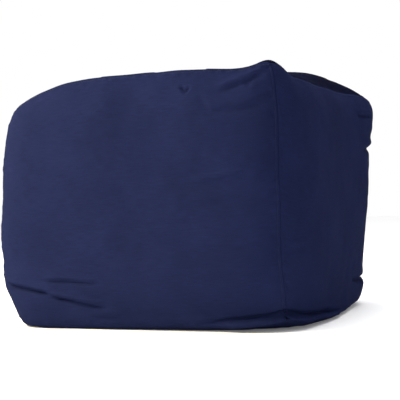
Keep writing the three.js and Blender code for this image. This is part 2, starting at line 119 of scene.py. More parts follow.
def skin(face, u, v, ridge=1.0):
    """The filled bag's outer surface over a point (u, v) of one face of the cube, each from -1 to 1.
    ridge is the share of the top seams' standing height, which is less on the layers inside."""
    q = cube_points(face, u, v)
    plan = (np.abs(q[..., 0]) ** PLAN_POWER + np.abs(q[..., 1]) ** PLAN_POWER) ** (1 / PLAN_POWER)
    reach = (plan**SIDE_POWER + np.abs(q[..., 2]) ** SIDE_POWER) ** (1 / SIDE_POWER)
    x, y, level = HALF_WIDTH * q[..., 0] / reach, HALF_DEPTH * q[..., 1] / reach, q[..., 2] / reach
    upper = smooth_step(level, *UPPER)
    lift = sum(
        height * bell(np.hypot(x - side_x * CORNER_X, y - side_y * CORNER_Y), LIFT_REACH)
        for (side_x, side_y), height in CORNER_LIFT.items()
    )
    p = np.stack([x, y, np.maximum(level * HALF_HEIGHT + FLOOR_DROP, 0) + lift * upper], -1)

    for side, (out, along) in SIDES.items():  # the top seams stand up as ridges
        across = out[0] * q[..., 0] + out[1] * q[..., 1]
        off_edge = np.abs(across - q[..., 2]) * 0.30 / np.maximum(across, q[..., 2]).clip(0.2)
        width = 1 - np.abs(q[..., along] / reach / 0.9) ** 3
        on_top = (q[..., 2] > across) & (side == "front")
        shape = bell(off_edge, np.where(on_top, *RIDGE_WIDTH), np.where(on_top, *RIDGE_POWER))
        pull = ridge * EDGE_RIDGE[side] * shape * width.clip(0, 1)
        pull = np.where((across > 0) & (q[..., 2] > 0), pull, 0)
        p += pull[..., None] * np.array([RIDGE_LEAN * out[0], RIDGE_LEAN * out[1], 1])

    p[..., 2] += EAR[0] * bell(off_corner(x, y, level, -1, EAR_BACK, 0.2), *EAR[1:]) * upper
    p += FAR_CORNER_PULL * (bell(off_corner(x, y, level, 1, 0, 0.18), *FAR_CORNER_REACH) * upper)[..., None]
    bulge_x, bulge_y, height, spread = CROWN_BULGE
    inner = smooth_step(level - np.maximum(np.abs(x / HALF_WIDTH), np.abs(y / HALF_DEPTH)), 0.0, 0.16)
    p[..., 2] += height * np.exp(-(((x - bulge_x) ** 2 + (y - bulge_y) ** 2) / spread**2)) * inner

    leaning = ((1, BACK_RIGHT_LEAN), (-1, FRONT_LEFT_LEAN))
    corners = [(sign, toward(p, sign, sign) ** 2, leans) for sign, leans in leaning]
    for sign, corner, leans in corners:
        lean = sum(out * bell(p[..., 2] - height, spread) for out, height, spread in leans)
        p[..., 0] += sign * lean * corner
        p[..., 1] += sign * 0.5 * lean * corner
    out, height, spread = FRONT_RIGHT_FLAP
    flap = out * toward(p, 1, -1) ** 1.5 * bell(p[..., 2] - height, spread)
    p[..., 0] += 0.5 * flap * np.clip(p[..., 0] / HALF_WIDTH, 0, 1) ** 4
    p[..., 1] -= flap * np.clip(-p[..., 1] / HALF_DEPTH, 0, 1) ** 4

    low = smooth_step(1 - p[..., 2] / FOOT_SKEW[1], 0, 1)
    p[..., 1] += (FOOT_SKEW[0] * p[..., 0] - FOOT_FORWARD) * low * smooth_step(-p[..., 1], 0.05, 0.28)
    more, place, spread = RIGHT_FOOT_SWELL
    foot = RIGHT_FOOT[0] * (1 + more * bell(p[..., 1] - place, spread))
    p[..., 0] += foot * bell(p[..., 2], RIGHT_FOOT[1]) * smooth_step(p[..., 0], 0.15, 0.30)
    for side, height in FOOT_LIFT:
        p[..., 2] += height * toward(p, 1, side) ** 6 * bell(p[..., 2], FOOT_LIFT_REACH)
    return p


def unit(a):
    return a / np.maximum(np.linalg.norm(a, axis=-1, keepdims=True), 1e-12)


def skin_normals(face, u, v, step=0.004):
    du = skin(face, u + step, v) - skin(face, u - step, v)
    dv = skin(face, u, v + step) - skin(face, u, v - step)
    return unit(np.cross(du, dv))


# ---------------------------------------------------------------- grids and meshes
def grid_normals(points):
    return unit(np.cross(np.gradient(points, axis=1), np.gradient(points, axis=0)))


def add_object(name, data):
    o = bpy.data.objects.new(name, data)
    bpy.context.scene.collection.objects.link(o)
    return o


def mesh_object(name, points, faces, material=None, uvs=None, smooth=True):
    mesh = bpy.data.meshes.new(name)
    mesh.from_pydata(np.asarray(points).tolist(), [], [tuple(f) for f in np.asarray(faces, dtype=object)])
    if uvs is not None:
        layer = mesh.uv_layers.new(name="UVMap")
        loops = np.zeros(len(mesh.loops), np.int32)
        mesh.loops.foreach_get("vertex_index", loops)
        layer.data.foreach_set("uv", np.asarray(uvs, np.float32)[loops].ravel())
    mesh.update()
    if smooth:
        mesh.shade_smooth()
    if material:
        mesh.materials.append(material)
    return add_object(name, mesh)


def join_piece(o, body, slot, *replaced):
    """Puts a piece on its body and hides the frame's nodes that it replaces; its slot is not used."""
    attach(o, body)
    if replaced:
        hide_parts(*replaced)


def cell_quads(at):
    """The faces of a grid of point numbers."""
    return np.stack([at[:-1, :-1], at[:-1, 1:], at[1:, 1:], at[1:, :-1]], -1).reshape(-1, 4)


def runs(line):
    """Length along a line of points, from its start to each of them."""
    return np.concatenate([[0], np.cumsum(np.linalg.norm(np.diff(line, axis=0), axis=1))])


def read_line(at, run, values):
    """A line's places or ways, read at lengths along it."""
    return np.stack([np.interp(at, run, values[:, c]) for c in range(3)], -1)


def sewn(surfaces, cells):
    """One closed net from a grid on each face of the cube: a number grid for each face, the quads and the points."""
    index, grids, points = {}, {}, []
    steps = np.linspace(-1, 1, cells + 1)
    u, v = np.meshgrid(steps, steps)
    for face, surface in surfaces.items():
        keys = np.rint(cube_points(face, u, v) * cells * 4).astype(int)
        at = np.zeros(u.shape, int)
        for i, j in np.ndindex(u.shape):
            key = tuple(keys[i, j])
            if key not in index:
                index[key] = len(points)
                points.append(surface[i, j])
            at[i, j] = index[key]
        grids[face] = at
    return grids, np.concatenate([cell_quads(at) for at in grids.values()]), np.array(points)


def shell_arrays(outer, thickness):
    """A closed sheet: the grid and a copy of it set in by its thickness, joined round the border."""
    rows, columns = outer.shape[:2]
    inner = outer - grid_normals(outer) * thickness
    points = np.concatenate([outer.reshape(-1, 3), inner.reshape(-1, 3)])
    at = np.arange(rows * columns).reshape(rows, columns)
    low = at + rows * columns
    quads = [
        cell_quads(at),
        np.stack([low[:-1, :-1], low[1:, :-1], low[1:, 1:], low[:-1, 1:]], -1).reshape(-1, 4),
        np.stack([low[0, :-1], low[0, 1:], at[0, 1:], at[0, :-1]], -1),
        np.stack([at[-1, :-1], at[-1, 1:], low[-1, 1:], low[-1, :-1]], -1),
        np.stack([at[:-1, 0], at[1:, 0], low[1:, 0], low[:-1, 0]], -1),
        np.stack([low[:-1, -1], low[1:, -1], at[1:, -1], at[:-1, -1]], -1),
    ]
    return points, np.concatenate(quads)


def spline_rows(steps, cells):
    """Cubic B-spline weights that read a line of cells + 1 values at any steps from -1 to 1."""
    t = (np.asarray(steps) + 1) / 2 * cells
    start = np.clip(np.floor(t).astype(int), 0, cells - 1)
    f = t - start
    weights = np.stack([(1 - f) ** 3, 3 * f**3 - 6 * f**2 + 4, -3 * f**3 + 3 * f**2 + 3 * f + 1, f**3], -1) / 6
    rows = np.zeros((len(t), cells + 3))
    for k in range(4):
        rows[np.arange(len(t)), start + k] += weights[:, k]
    rows[:, 1] += 2 * rows[:, 0]
    rows[:, 2] -= rows[:, 0]
    rows[:, -2] += 2 * rows[:, -1]
    rows[:, -3] -= rows[:, -1]
    return rows[:, 1:-1]


# ---------------------------------------------------------------- cloth simulation of the whole cover
SIM_CELLS = 60
SIM_FRAMES = 20
SIM_CAP = 0.010  # no point of the cover moves further than this
SIM_CALM = 0.78  # the share of that movement taken off the front and right panels
SLOW_ROUNDS = 60  # rounds of averaging that find the slow part of the movement, which is left out
CLOTH_SETTINGS = {
    "quality": 6,
    "mass": 0.35,
    "tension_stiffness": 30,
    "compression_stiffness": 30,
    "shear_stiffness": 12,
    "bending_stiffness": 0.8,
    "air_damping": 2,
    "use_pressure": True,
    "uniform_pressure_force": 4,
}


def flat_cut(grids, count, ease=1.035):
    """The same net as flat panels sewn into a sharp box, each a little larger than the filled face."""
    steps = np.linspace(-1, 1, SIM_CELLS + 1)
    middle = np.zeros(1)
    places = []
    for line in (skin("front", steps, middle), skin("right", steps, middle), skin("front", middle, steps)):
        run = runs(line)
        places.append((run - run[-1] / 2) * ease)
    flat = np.zeros((count, 3))
    u, v = np.meshgrid(steps, steps)
    for face, at in grids.items():
        q = cube_points(face, u, v)
        for axis in range(3):
            flat[at, axis] = np.interp(q[..., axis], steps, places[axis])
    return flat + [0, 0, CROWN / 2]


def neighbour_mean(values, edges, degree, rounds):
    for _ in range(rounds):
        total = np.zeros_like(values)
        np.add.at(total, edges[:, 0], values[edges[:, 1]])
        np.add.at(total, edges[:, 1], values[edges[:, 0]])
        values = 0.5 * values + 0.5 * total / degree[:, None]
    return values


def inflate():
    """Sews the flat panels to the filled shape, lets them settle under the beads' push, and returns what that moved."""
    steps = np.linspace(-1, 1, SIM_CELLS + 1)
    u, v = np.meshgrid(steps, steps)
    grids, quads, start = sewn({face: skin(face, u, v) for face in FACES}, SIM_CELLS)
    net = mesh_object("sewn_cover", start, quads)
    net.shape_key_add(name="Basis")
    key = net.shape_key_add(name="flat")
    key.data.foreach_set("co", flat_cut(grids, len(start)).ravel())
    key.value = 0
    cloth = net.modifiers.new("Cloth", "CLOTH")
    for setting, value in CLOTH_SETTINGS.items():
        setattr(cloth.settings, setting, value)
    cloth.settings.effector_weights.gravity = 0
    cloth.settings.rest_shape_key = key
    cloth.point_cache.frame_start = 1
    cloth.point_cache.frame_end = SIM_FRAMES
    for f in range(1, SIM_FRAMES + 1):
        bpy.context.scene.frame_set(f)
    settled = net.evaluated_get(bpy.context.evaluated_depsgraph_get())
    end = np.zeros(len(start) * 3)
    settled.data.vertices.foreach_get("co", end)
    moved = end.reshape(-1, 3) - start
    edges = np.unique(np.sort(np.concatenate([quads[:, [0, 1]], quads[:, [1, 2]]]), axis=1), axis=0)
    degree = np.bincount(edges.ravel(), minlength=len(start))
    bpy.data.objects.remove(net)
    bpy.context.scene.frame_set(1)
    moved = neighbour_mean(moved - neighbour_mean(moved, edges, degree, SLOW_ROUNDS), edges, degree, 1)
    moved *= np.minimum(1, SIM_CAP / np.maximum(np.linalg.norm(moved, axis=1, keepdims=True), 1e-9))
    # the photo's front and right panels are smooth; the slack lies at the back and the left
    calm = 1 - smooth_step(start @ np.array([-0.6, 0.8, 0.0]), 0.0, 0.25)
    moved *= (1 - SIM_CALM * calm)[:, None]
    return {face: moved[at] for face, at in grids.items()}


settled = inflate()


def settled_at(face, us, vs):
    if face not in settled:
        return np.zeros((len(vs), len(us), 3))
    across, up = spline_rows(us, SIM_CELLS), spline_rows(vs, SIM_CELLS)
    return np.einsum("ij,jkc,lk->ilc", up, settled[face], across)


# ---------------------------------------------------------------- folds, seams and puckers
# each fold: its line, as places on each face it crosses, the depth of the valley, its half width, the height
# of the lip beside it, and the way that lip lies
UP, DOWN = (0, 0, 1), (0, 0, -1)
FOLDS = [
    ({"front": [(0.56, 0.80), (0.76, 0.86), (0.96, 0.92)]}, 0.0042, 0.006, 0.0035, UP),
    ({"front": [(0.50, 0.66), (0.72, 0.66), (0.96, 0.74)]}, 0.0036, 0.008, 0.0026, UP),
    ({"front": [(0.765, 0.89), (0.79, 0.835), (0.83, 0.89)]}, 0.0020, 0.0040, 0.0010, DOWN),
    ({"front": [(0.355, 0.88), (0.39, 0.825), (0.425, 0.87)]}, 0.0066, 0.0024, 0.0012, DOWN),
    ({"front": [(0.46, 0.80), (0.50, 0.74), (0.53, 0.62)]}, 0.0016, 0.006, 0.0012, (1, 0, 0)),
    ({"front": [(0.40, 0.17), (0.58, 0.21), (0.80, 0.25)]}, -0.0020, 0.006, -0.0010, DOWN),
    ({"front": [(0.46, -0.28), (0.70, -0.28), (0.92, -0.28)]}, -0.0015, 0.006, -0.0008, DOWN),
    ({"front": [(0.30, 0.02), (0.52, 0.05), (0.74, 0.09)]}, -0.0010, 0.007, -0.0006, DOWN),
    ({"front": [(-1.0, -0.64), (-0.91, -0.64), (-0.71, -0.63), (-0.50, -0.665)]}, 0.0100, 0.0042, 0.0032, UP),
    ({"front": [(-0.60, -0.56), (-0.40, -0.55), (-0.16, -0.575)]}, 0.0058, 0.0031, 0.0030, UP),
    ({"front": [(-0.60, -0.665), (-0.40, -0.71), (-0.16, -0.78)]}, 0.0085, 0.0038, 0.0046, UP),
    ({"front": [(-0.32, -0.88), (-0.08, -0.87)]}, 0.0025, 0.005, 0.0015, UP),
    ({"front": [(0.34, -0.940), (0.46, -0.922), (0.60, -0.890), (0.76, -0.884), (0.91, -0.897), (1.0, -0.906)],
      "right": [(-0.93, -0.904), (-0.61, -0.880), (-0.18, -0.905), (0.10, -0.925)]}, 0.0155, 0.0036, 0.0066, DOWN),
    ({"front": [(0.50, -0.962), (0.64, -0.952), (0.80, -0.950), (1.0, -0.958)], "right": [(-0.93, -0.957), (-0.62,
      -0.950)]}, -0.0095, 0.0085, 0.0, DOWN),
    ({"front": [(0.975, -0.925), (0.998, -0.995)]}, 0.0130, 0.0028, 0.0050, (1, 0, 0)),
    ({"right": [(-0.98, -0.09), (-0.80, -0.09)]}, -0.0015, 0.006, -0.0008, DOWN),
    ({"right": [(-0.98, -0.30), (-0.66, -0.29)]}, -0.0018, 0.006, -0.0010, DOWN),
    ({"right": [(0.42, 0.72), (0.58, 0.73), (0.78, 0.75)]}, 0.0065, 0.0045, 0.0040, UP),
    ({"right": [(0.28, 0.58), (0.50, 0.55), (0.90, 0.56)]}, 0.0035, 0.010, 0.0025, UP),
    ({"right": [(0.45, 0.42), (0.77, 0.46), (1.0, 0.47)], "back": [(-0.8, 0.46)]}, 0.0080, 0.007, 0.0040, UP),
    ({"right": [(0.22, -0.65), (0.48, -0.695), (1.0, -0.712)], "back": [(-0.8, -0.69)]}, 0.0110, 0.006, 0.0008, DOWN),
    ({"back": [(-0.55, 0.62), (-0.20, 0.55), (0.12, 0.58)]}, 0.0040, 0.008, 0.0030, UP),
    ({"back": [(0.50, 0.30), (0.78, 0.36), (0.98, 0.34)]}, 0.0050, 0.007, 0.0032, UP),
    ({"back": [(0.10, 0.80), (0.34, 0.74), (0.60, 0.78)]}, 0.0035, 0.006, 0.0024, DOWN),
    ({"left": [(-0.90, 0.30), (-0.55, 0.24), (-0.25, 0.27)]}, 0.0045, 0.007, 0.0030, UP),
    ({"left": [(0.35, 0.66), (0.62, 0.60), (0.90, 0.62)]}, 0.0040, 0.007, 0.0028, DOWN),
    ({"left": [(-0.95, -0.70), (-0.55, -0.62), (-0.10, -0.68)]}, 0.0060, 0.007, 0.0040, UP),
    ({"top": [(-0.86, -0.30), (-0.60, -0.22), (-0.35, -0.24)]}, 0.0035, 0.009, 0.0024, (0, 1, 0)),
    ({"top": [(0.30, 0.86), (0.38, 0.62), (0.34, 0.40)]}, 0.0035, 0.009, 0.0024, (1, 0, 0)),
    ({"top": [(-0.82, 0.84), (-0.66, 0.68), (-0.52, 0.60)]}, 0.0042, 0.008, 0.0028, (1, 0, 0)),
]
FOLD_ENDS = 0.28  # the share of a fold's length over which it fades out at either end
# each soft swelling: its middle, height and reach
SWELLS = [
    (("right", 0.72, -0.86), 0.0030, 0.035),
    (("right", 0.80, 0.10), 0.0040, 0.070),
    (("front", -0.94, -0.10), 0.0045, 0.090),
    (("front", -0.75, -0.80), 0.0030, 0.050),
    (("left", -0.10, -0.05), 0.0050, 0.110),
    (("back", 0.35, 0.20), 0.0045, 0.100),
    (("top", -0.25, 0.15), 0.0050, 0.120),
]
SEAM_GROOVE = (0.0006, 0.0010)  # depth and half width of the valley along a seam
SEAM_BAND = (0.0005, 0.0075)  # height and width of the folded allowance beside it
TOPSTITCH = 0.0062  # the stitching's distance from the seam
STITCH_DENT = (0.0007, 0.0010)  # depth and half width of the dent under it
BANDS = {  # the sides of each panel that the allowance is pressed to
    "front": ("left", "right", "low", "high"),
    "right": ("low", "high"),
    "back": ("left", "right", "high"),
    "left": ("low", "high"),
    "top": (),
    "bottom": (),
}
EDGE_LINES = (0.0, 0.0009, 0.0018, 0.0028, 0.0042, 0.0054, 0.0062, 0.0070, 0.0084, 0.0105)

random = np.random.default_rng(11)


class Ripple:
    """Smooth noise from about -1 to 1 over places in space: a sum of seeded waves."""

    def __init__(self, wavelength, waves=9):
        self.directions = unit(random.normal(size=(waves, 3)))
        self.rates = 2 * np.pi / wavelength * random.uniform(0.7, 1.35, waves)
        self.starts = random.uniform(0, 2 * np.pi, waves)

    def __call__(self, points):
        angles = np.einsum("...c,wc->...w", points, self.directions) * self.rates + self.starts
        return np.sin(angles).sum(-1) / math.sqrt(len(self.rates)) / 1.4


broad_noise = Ripple(0.16)
dent_noise = Ripple(0.055)
DRAG = np.array([0.35, 0.35, 1.6])  # drag lines lie level, so they are short upwards and long across
drag_noise = Ripple(0.040, 12)
pucker_noise = Ripple(0.017)
fine_pucker_noise = Ripple(0.009)


def line_over(stretches, pieces=14):
    """Points in space along a fold that is given by places on the faces, smoothed between them."""
    places = [(face, u, v) for face, stretch in stretches.items() for u, v in stretch]
    rows = []
    for (face_a, ua, va), (face_b, ub, vb) in zip(places, places[1:]):
        t = np.linspace(0, 1, pieces) if face_a == face_b else np.zeros(1)
        rows.append(skin(face_a, ua + (ub - ua) * t, va + (vb - va) * t))
    face, u, v = places[-1]
    rows.append(skin(face, np.array([u]), np.array([v])))
    line = np.concatenate(rows)
    for _ in range(12):
        line[1:-1] = (line[:-2] + 2 * line[1:-1] + line[2:]) / 4
    return line


FOLD_LINES = [line_over(fold[0]) for fold in FOLDS]


def fold_relief(points):
    """How far the listed folds and swellings raise or sink the cloth at these places."""
    flat = points.reshape(-1, 3)
    height = np.zeros(len(flat))
    for (_, depth, width, lip, way), line in zip(FOLDS, FOLD_LINES):
        reach = 6 * width
        near = np.where(((flat > line.min(0) - reach) & (flat < line.max(0) + reach)).all(1))[0]
        if not len(near):
            continue
        p = flat[near]
        a, step = line[:-1], np.diff(line, axis=0)
        t = np.einsum("pc,sc->ps", p, step) - (a * step).sum(1)
        t = np.clip(t / np.maximum((step**2).sum(1), 1e-12), 0, 1)
        foot = a[None] + t[..., None] * step[None]
        gap = np.linalg.norm(p[:, None] - foot, axis=2)
        best = gap.argmin(1)
        pick = np.arange(len(p))
        run = runs(line)
        place = (run[best] + t[pick, best] * np.linalg.norm(step, axis=1)[best]) / run[-1]
        ends = smooth_step(place, 0, FOLD_ENDS) * smooth_step(1 - place, 0, FOLD_ENDS)
        s = gap[pick, best] * np.sign((p - foot[pick, best]) @ np.array(way, float))
        wobble = 1 + 0.25 * dent_noise(p)
        valley = -depth * bell(s, width * wobble)
        beside = lip * bell(s - 1.9 * width, 1.5 * width)
        height[near] += (valley + beside) * ends
    for (face, u, v), rise, reach in SWELLS:
        middle = skin(face, np.array([u]), np.array([v]))[0]
        height += rise * bell(np.linalg.norm(flat - middle, axis=1), reach)
    return height.reshape(points.shape[:-1])


def edge_distances(points):
    """Each grid point's distance along the cloth from the panel's left, right, low and high sides."""
    across = np.linalg.norm(np.diff(points, axis=1), axis=2)
    along = np.linalg.norm(np.diff(points, axis=0), axis=2)
    left = np.pad(np.cumsum(across, 1), ((0, 0), (1, 0)))
    low = np.pad(np.cumsum(along, 0), ((1, 0), (0, 0)))
    return {"left": left, "right": left[:, -1:] - left, "low": low, "high": low[-1:] - low}


def seam_relief(points, distances, bands):
    """How far the seams' valleys, puckers, pressed allowances and stitching raise or sink the cloth."""
    nearest = np.minimum.reduce(list(distances.values()))
    height = -SEAM_GROOVE[0] * bell(nearest, SEAM_GROOVE[1])
    pucker = pucker_noise(points) * 0.0009 + fine_pucker_noise(points) * 0.0004
    height += pucker * bell(nearest - 0.008, 0.010) * smooth_step(nearest, 0.0005, 0.004)
    for side in bands:
        d = distances[side]
        others = np.minimum.reduce([distances[s] for s in distances if s != side])
        on = smooth_step(others, 0.001, 0.004)
        band = smooth_step(d, 0.0008, 0.0026) * (1 - smooth_step(d, SEAM_BAND[1], SEAM_BAND[1] + 0.002))
        height += SEAM_BAND[0] * band * on
        height -= STITCH_DENT[0] * bell(d - TOPSTITCH, STITCH_DENT[1]) * on
    return height


def panel_steps(face, axis, pitch, low=True, high=True, span=(-1, 1), extra=()):
    """Grid steps over a face: evenly spaced along the cloth, with closer lines beside its seams."""
    fine = np.linspace(span[0], span[1], 1200)
    middle = np.zeros_like(fine)
    run = runs(skin(face, fine, middle) if axis == 0 else skin(face, middle, fine))
    total = run[-1]
    start = EDGE_LINES if low else (0.0,)
    end = EDGE_LINES if high else (0.0,)
    inner = np.linspace(start[-1], total - end[-1], max(2, round((total - start[-1] - end[-1]) / pitch)) + 1)
    places = np.unique(np.concatenate([start, inner, total - np.array(end)]))
    if len(extra):
        wanted = np.interp(extra, fine, run)
        clear = np.abs(places[:, None] - wanted[None]).min(1) > 0.0008
        places = np.sort(np.concatenate([places[clear | (places == 0) | (places == total)], wanted]))
    steps = np.interp(places, run, fine)
    steps[0], steps[-1] = span
    return steps


# ---------------------------------------------------------------- flat places round the two zips
zip_low, zip_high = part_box("zip_tape_lower")[0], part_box("zip_tape_upper")[1]
ZIP_HEIGHT = (zip_low.z + zip_high.z) / 2
ZIP_FACE = zip_high.y + 0.0015  # the cover's outer surface beside the zip
ZIP_HALF = zip_high.x
SLOT_HALF, SLOT_RISE = 0.230, 0.006
liner_zip_low, liner_zip_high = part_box("liner_zip_tape_lower")[0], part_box("liner_zip_tape_upper")[1]
LINER_ZIP_HEIGHT = (liner_zip_low.z + liner_zip_high.z) / 2
LINER_ZIP_FACE = liner_zip_high.y + 0.0011
LINER_ZIP_HALF = liner_zip_high.x
LINER_SLOT_HALF = 0.150


def boxed(points, half, height, rise, soft):
    """1 within a box on the back about a zip, falling to 0 over the soft distance round it."""
    over_x = 1 - smooth_step(np.abs(points[..., 0]), half, half + soft)
    over_z = 1 - smooth_step(np.abs(points[..., 2] - height), rise, rise + soft)
    return over_x * over_z * (points[..., 1] > 0.2)


def flatten(points, face_y, half, height, rise, soft, base):
    """Draws a grid on the back to a plane round a zip, with its rows level and its columns upright."""
    share = boxed(base, half, height, rise, soft)[..., None]
    middle_row = np.abs(base[:, base.shape[1] // 2, 2] - height).argmin()
    target = np.stack(
        [
            np.broadcast_to(base[middle_row, :, 0], base.shape[:2]),
            np.full(base.shape[:2], face_y),
            np.broadcast_to(base[:, base.shape[1] // 2, 2][:, None], base.shape[:2]),
        ],
        -1,
    )
    return points * (1 - share) + target * share


def set_in(points, face_y, half, height, rise, soft, base):
    """Presses a layer on the back inwards to a plane behind a zip."""
    share = boxed(base, half, height, rise, soft)
    points[..., 1] += (np.minimum(points[..., 1], face_y) - points[..., 1]) * share
    return points


def open_slot(points, half, height, rise, upper):
    """Parts a panel's border round a zip's slot."""
    along = 1 - smooth_step(np.abs(points[..., 0]), half - 0.0015, half + 0.0015)
    gap = points[..., 2] - height if upper else height - points[..., 2]
    shift = rise * along * (1 - smooth_step(gap, 0.0, 0.024))
    points[..., 2] += shift if upper else -shift
    return points


def face_step(face, axis, height, at=0.0):
    """The v of a face's middle line where it reaches a height, or the u where it reaches an x."""
    fine = np.linspace(-1, 1, 4001)
    fixed = np.full_like(fine, at)
    line = skin(face, fixed, fine) if axis == 1 else skin(face, fine, fixed)
    values = line[:, 2] if axis == 1 else line[:, 0]
    order = np.argsort(values, kind="stable")
    return float(np.interp(height, values[order], fine[order]))


# ---------------------------------------------------------------- materials
def link(tree, a, b):
    tree.links.new(a, b)


def node(tree, kind, **values):
    n = tree.nodes.new(kind)
    for key, value in values.items():
        if key in n.inputs:
            n.inputs[key].default_value = value
        else:
            setattr(n, key.replace(" ", "_").lower(), value)
    return n


def start_material(name, color, roughness, metallic=0.0, specular=0.2):
    m = bpy.data.materials.new(name)
    m.use_nodes = True
    m.diffuse_color = (*color, 1)
    b = m.node_tree.nodes["Principled BSDF"]
    b.inputs["Base Color"].default_value = (*color, 1)
    b.inputs["Roughness"].default_value = roughness
    b.inputs["Metallic"].default_value = metallic
    b.inputs["Specular IOR Level"].default_value = specular
    return m, m.node_tree, b


def scaled(color, by):
    return (*[min(1, c * by) for c in color], 1)


def noise(tree, places, scale, detail, **more):
    n = node(tree, "ShaderNodeTexNoise", Scale=scale, Detail=detail, **more)
    link(tree, places, n.inputs["Vector"])
    return n.outputs["Fac"]


def stretched(tree, places, scale):
    n = node(tree, "ShaderNodeMapping", Scale=scale)
    link(tree, places, n.inputs["Vector"])
    return n.outputs["Vector"]


def mapped(tree, value, low, high, span=(0.3, 0.7)):
    """A value taken from one span, where a noise mostly lies, to another."""
    ranges = {"From Min": span[0], "From Max": span[1], "To Min": low, "To Max": high}
    n = node(tree, "ShaderNodeMapRange", **ranges)
    link(tree, value, n.inputs["Value"])
    return n.outputs["Result"]


def shades(tree, value, low, high, at=(0.3, 0.7)):
    """A colour from low to high as the value passes between two places."""
    n = node(tree, "ShaderNodeValToRGB")
    for element, place, color in zip(n.color_ramp.elements, at, (low, high)):
        element.position = place
        element.color = color
    link(tree, value, n.inputs["Fac"])
    return n.outputs["Color"]


def combined(tree, operation, a, b):
    n = node(tree, "ShaderNodeMath", operation=operation)
    link(tree, a, n.inputs[0])
    link(tree, b, n.inputs[1])
    return n.outputs["Value"]


def dimmed(tree, color, by):
    n = node(tree, "ShaderNodeVectorMath", operation="SCALE")
    link(tree, color, n.inputs[0])
    link(tree, by, n.inputs["Scale"])
    return n.outputs["Vector"]


def raise_bumps(tree, shader, height, strength, distance, invert=False):
    n = node(tree, "ShaderNodeBump", Strength=strength, Distance=distance)
    n.invert = invert
    link(tree, height, n.inputs["Height"])
    link(tree, n.outputs["Normal"], shader.inputs["Normal"])


def bands(tree, places, direction, rate, distortion):
    """A wave from 0 to 1 whose crests lie `rate` to the metre."""
    wave = node(tree, "ShaderNodeTexWave", Scale=rate * 2 * math.pi / 20, Distortion=distortion, Detail=1,
                wave_type="BANDS", bands_direction=direction, wave_profile="SIN", **{"Detail Scale": 2})
    link(tree, places, wave.inputs["Vector"])
    return wave.outputs["Fac"]


def woven(name, color, warp_rate, weft_rate, roughness=0.9, sheen=0.1, specular=0.2, bump=0.0003, fine=0.08, broad=0.1,
          from_uv=True, thread_gap_shade=0.3):
    """Plain weave: warp and weft crests that cross, over broad and fine variation and long slubs."""
    m, tree, b = start_material(name, color, roughness, specular=specular)
    places = node(tree, "ShaderNodeTexCoord").outputs["UV" if from_uv else "Object"]
    warp = bands(tree, places, "X", warp_rate, 0.35)
    weft = bands(tree, places, "Y" if from_uv else "Z", weft_rate, 0.35)
    # where warp is high weft is low: the product of the two signed waves gives the over-and-under
    cross = combined(tree, "MULTIPLY", mapped(tree, warp, -1, 1, (0, 1)), mapped(tree, weft, -1, 1, (0, 1)))
    thread = mapped(tree, cross, 0, 1, (-1, 1))
    quick = noise(tree, places, 900, 2, Roughness=0.6)
    slubs = noise(tree, stretched(tree, places, (45, 420, 45)), 1, 2)
    shade = shades(tree, noise(tree, places, 9, 3, Roughness=0.55), scaled(color, 1 - broad), scaled(color, 1 + broad))
    speckle = mapped(tree, quick, 1 - fine, 1 + fine)
    # painted shade: the colour darkens in the dips between the threads, with a little painted light on their crests
    painted_gap_shade = mapped(tree, thread, 1 - thread_gap_shade, 1 + thread_gap_shade * 0.4, (0, 1))
    shade = dimmed(tree, shade, combined(tree, "MULTIPLY", speckle, painted_gap_shade))
    shade = dimmed(tree, shade, mapped(tree, slubs, 1 - fine, 1 + fine))
    link(tree, shade, b.inputs["Base Color"])
    link(tree, mapped(tree, quick, roughness - 0.06, roughness + 0.06), b.inputs["Roughness"])
    raise_bumps(tree, b, combined(tree, "ADD", thread, slubs), 0.6, bump)
    b.inputs["Sheen Weight"].default_value = sheen
    b.inputs["Sheen Roughness"].default_value = 0.45
    b.inputs["Sheen Tint"].default_value = (0.55, 0.62, 1.0, 1)
    return m


def worn_metal(name, color):
    m, tree, b = start_material(name, color, 0.32, 1.0, 0.5)
    places = node(tree, "ShaderNodeTexCoord").outputs["Object"]
    spots = noise(tree, places, 500, 3)
    link(tree, mapped(tree, spots, 0.24, 0.46), b.inputs["Roughness"])
    link(tree, shades(tree, spots, scaled(color, 0.8), scaled(color, 1.15), (0.35, 0.7)), b.inputs["Base Color"])
    raise_bumps(tree, b, noise(tree, stretched(tree, places, (400, 2500, 2500)), 1, 3), 0.15, 0.00005)
    return m


def beaded(name, color):
    m, tree, b = start_material(name, color, 0.6, 0.0, 0.4)
    places = node(tree, "ShaderNodeTexCoord").outputs["Object"]
    cells = node(tree, "ShaderNodeTexVoronoi", Scale=260)
    link(tree, places, cells.inputs["Vector"])
    away = cells.outputs["Distance"]
    # painted shade: each bead's colour darkens towards its edge, in the gaps between the beads
    link(tree, shades(tree, away, scaled(color, 1.0), scaled(color, 0.45), (0, 0.75)), b.inputs["Base Color"])
    link(tree, mapped(tree, noise(tree, places, 1500, 2), 0.5, 0.7), b.inputs["Roughness"])
    raise_bumps(tree, b, away, 1.0, 0.002, invert=True)
    return m


NAVY = (0.0098, 0.0137, 0.0490)
canvas = woven("canvas", NAVY, 1100, 1000, sheen=0.0, specular=0.01, fine=0.12)
knit = woven("knit", (0.0024, 0.0034, 0.0165), 520, 700, sheen=0.0, specular=0.01, bump=0.0005, thread_gap_shade=0.4)
lining = woven("lining", (0.79, 0.77, 0.72), 1600, 1600, roughness=0.85, sheen=0.0, bump=0.0001, fine=0.03, broad=0.03,
               thread_gap_shade=0.08)
tape_cloth = woven("tape_cloth", (0.0123, 0.0160, 0.0513), 1800, 1400, bump=0.0002, from_uv=False, sheen=0.05)
coil_nylon = woven("coil_nylon", (0.0103, 0.0137, 0.0423), 4000, 4000, roughness=0.45, specular=0.5, bump=0.00002,
                   from_uv=False, thread_gap_shade=0.05, sheen=0.0)
thread_yarn = woven("thread_yarn", (0.0130, 0.0170, 0.0560), 5000, 5000, roughness=0.7, specular=0.12, bump=0.00003,
                    from_uv=False)
